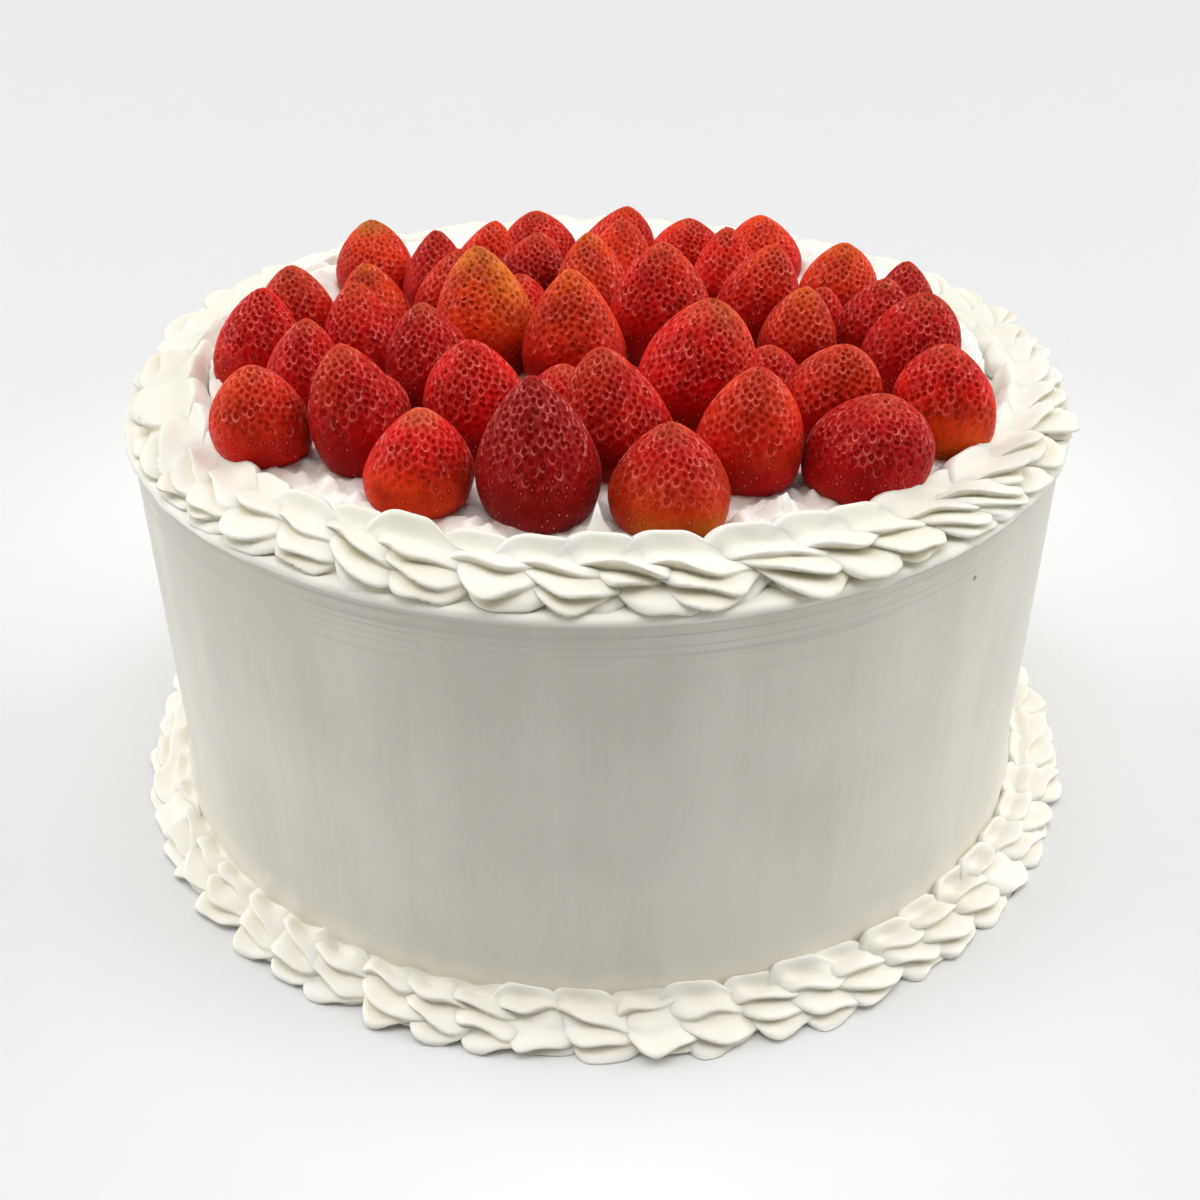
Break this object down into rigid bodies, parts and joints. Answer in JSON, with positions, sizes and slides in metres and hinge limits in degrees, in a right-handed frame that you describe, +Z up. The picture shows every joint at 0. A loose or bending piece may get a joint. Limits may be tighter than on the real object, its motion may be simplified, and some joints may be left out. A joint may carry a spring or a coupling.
{
  "type": "birthday cake",
  "caption": "Tall round layer cake with smooth white cream, piped shell borders round its foot and rim, and a heap of whole strawberries on top.",
  "frame": {"origin": "centre of the cake's flat underside", "axes": "+Z up along the cake's axis, -Y towards the side that faces the viewer, +X to the viewer's right"},
  "size_m": [0.2888, 0.289, 0.154],
  "materials": {
    "cake_cream": "smooth white whipped cream, soft satin",
    "top_cream": "rough white cream, faintly pink with berry juice",
    "top_border": "piped whipped cream, soft satin",
    "base_border": "piped whipped cream, soft satin",
    "strawberry": "fresh strawberry skin, satin with pitted seeds"
  },
  "bodies": {
    "root": {"cake_body": "cake_cream", "top_cream": "top_cream", "top_border": "top_border", "base_border": "base_border", "strawberry_01": "strawberry", "strawberry_02": "strawberry", "strawberry_03": "strawberry", "strawberry_04": "strawberry", "strawberry_05": "strawberry", "strawberry_06": "strawberry", "strawberry_07": "strawberry", "strawberry_08": "strawberry", "strawberry_09": "strawberry", "strawberry_10": "strawberry", "strawberry_11": "strawberry", "strawberry_12": "strawberry", "strawberry_13": "strawberry", "strawberry_14": "strawberry", "strawberry_15": "strawberry", "strawberry_16": "strawberry", "strawberry_17": "strawberry", "strawberry_18": "strawberry", "strawberry_19": "strawberry", "strawberry_20": "strawberry", "strawberry_21": "strawberry", "strawberry_22": "strawberry", "strawberry_23": "strawberry", "strawberry_24": "strawberry", "strawberry_25": "strawberry", "strawberry_26": "strawberry", "strawberry_27": "strawberry", "strawberry_28": "strawberry", "strawberry_29": "strawberry", "strawberry_30": "strawberry", "strawberry_31": "strawberry", "strawberry_32": "strawberry", "strawberry_33": "strawberry", "strawberry_34": "strawberry", "strawberry_35": "strawberry", "strawberry_36": "strawberry", "strawberry_37": "strawberry", "strawberry_38": "strawberry", "strawberry_39": "strawberry", "strawberry_40": "strawberry", "strawberry_41": "strawberry", "strawberry_42": "strawberry", "strawberry_43": "strawberry", "strawberry_44": "strawberry", "strawberry_45": "strawberry", "strawberry_46": "strawberry", "strawberry_47": "strawberry", "strawberry_48": "strawberry", "strawberry_49": "strawberry", "strawberry_50": "strawberry"}
  },
  "joints": []
}
